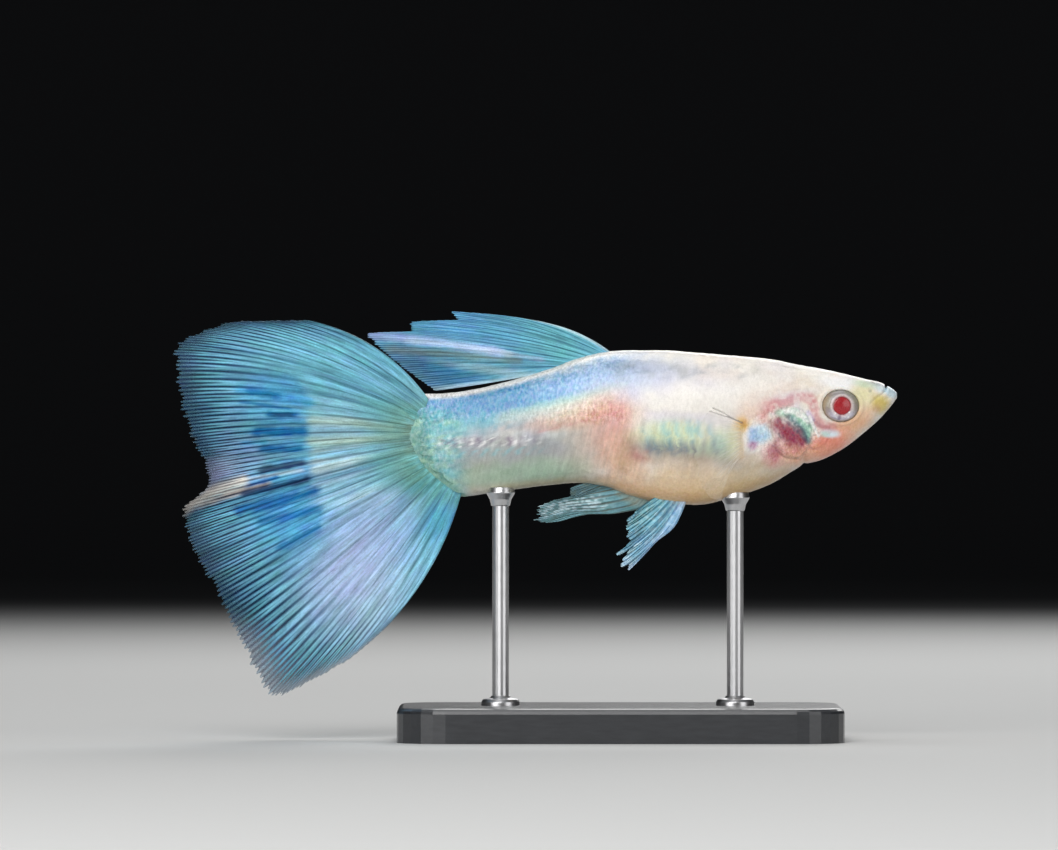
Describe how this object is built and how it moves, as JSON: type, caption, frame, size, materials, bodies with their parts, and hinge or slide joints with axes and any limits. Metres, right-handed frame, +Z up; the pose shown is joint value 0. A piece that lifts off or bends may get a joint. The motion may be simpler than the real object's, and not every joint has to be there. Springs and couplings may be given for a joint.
{
  "type": "fancy guppy",
  "caption": "Still life-size male guppy with a wide delta tail and ray-ribbed fins, held level by short rods on a flat display base.",
  "frame": {"origin": "centre of the stand base's underside, on the floor", "axes": "+X towards the fish's head, +Y towards its left side, +Z up"},
  "size_m": [0.0521, 0.02, 0.0309],
  "materials": {
    "pearl_skin": "wet pearly fish skin, cream to peach, with fine scales",
    "blue_skin": "wet iridescent blue-green fish skin with fine scales",
    "jaw_skin": "smooth wet skin, pale with a yellow patch",
    "gill_skin": "shiny gill cover, crimson and pale green",
    "eye": "wet clear eye with a red pupil and a silver ring",
    "blue_fin": "thin pale blue fin skin over paler rays",
    "clear_fin": "thin clear fin skin, faintly yellow at the root",
    "base": "satin dark slab with softened edges",
    "rod": "satin steel rod"
  },
  "bodies": {
    "root": {"head": "pearl_skin", "trunk": "pearl_skin", "tail_stalk": "blue_skin", "lower_jaw": "jaw_skin", "gill_cover_right": "gill_skin", "gill_cover_left": "gill_skin", "eye_right": "eye", "eye_left": "eye", "tail_fin": "blue_fin", "dorsal_fin": "blue_fin", "anal_fin": "blue_fin", "pelvic_fin_right": "blue_fin", "pelvic_fin_left": "blue_fin", "pectoral_fin_right": "clear_fin", "pectoral_fin_left": "clear_fin", "stand_base": "base", "stand_rod_front": "rod", "stand_rod_rear": "rod"}
  },
  "joints": []
}
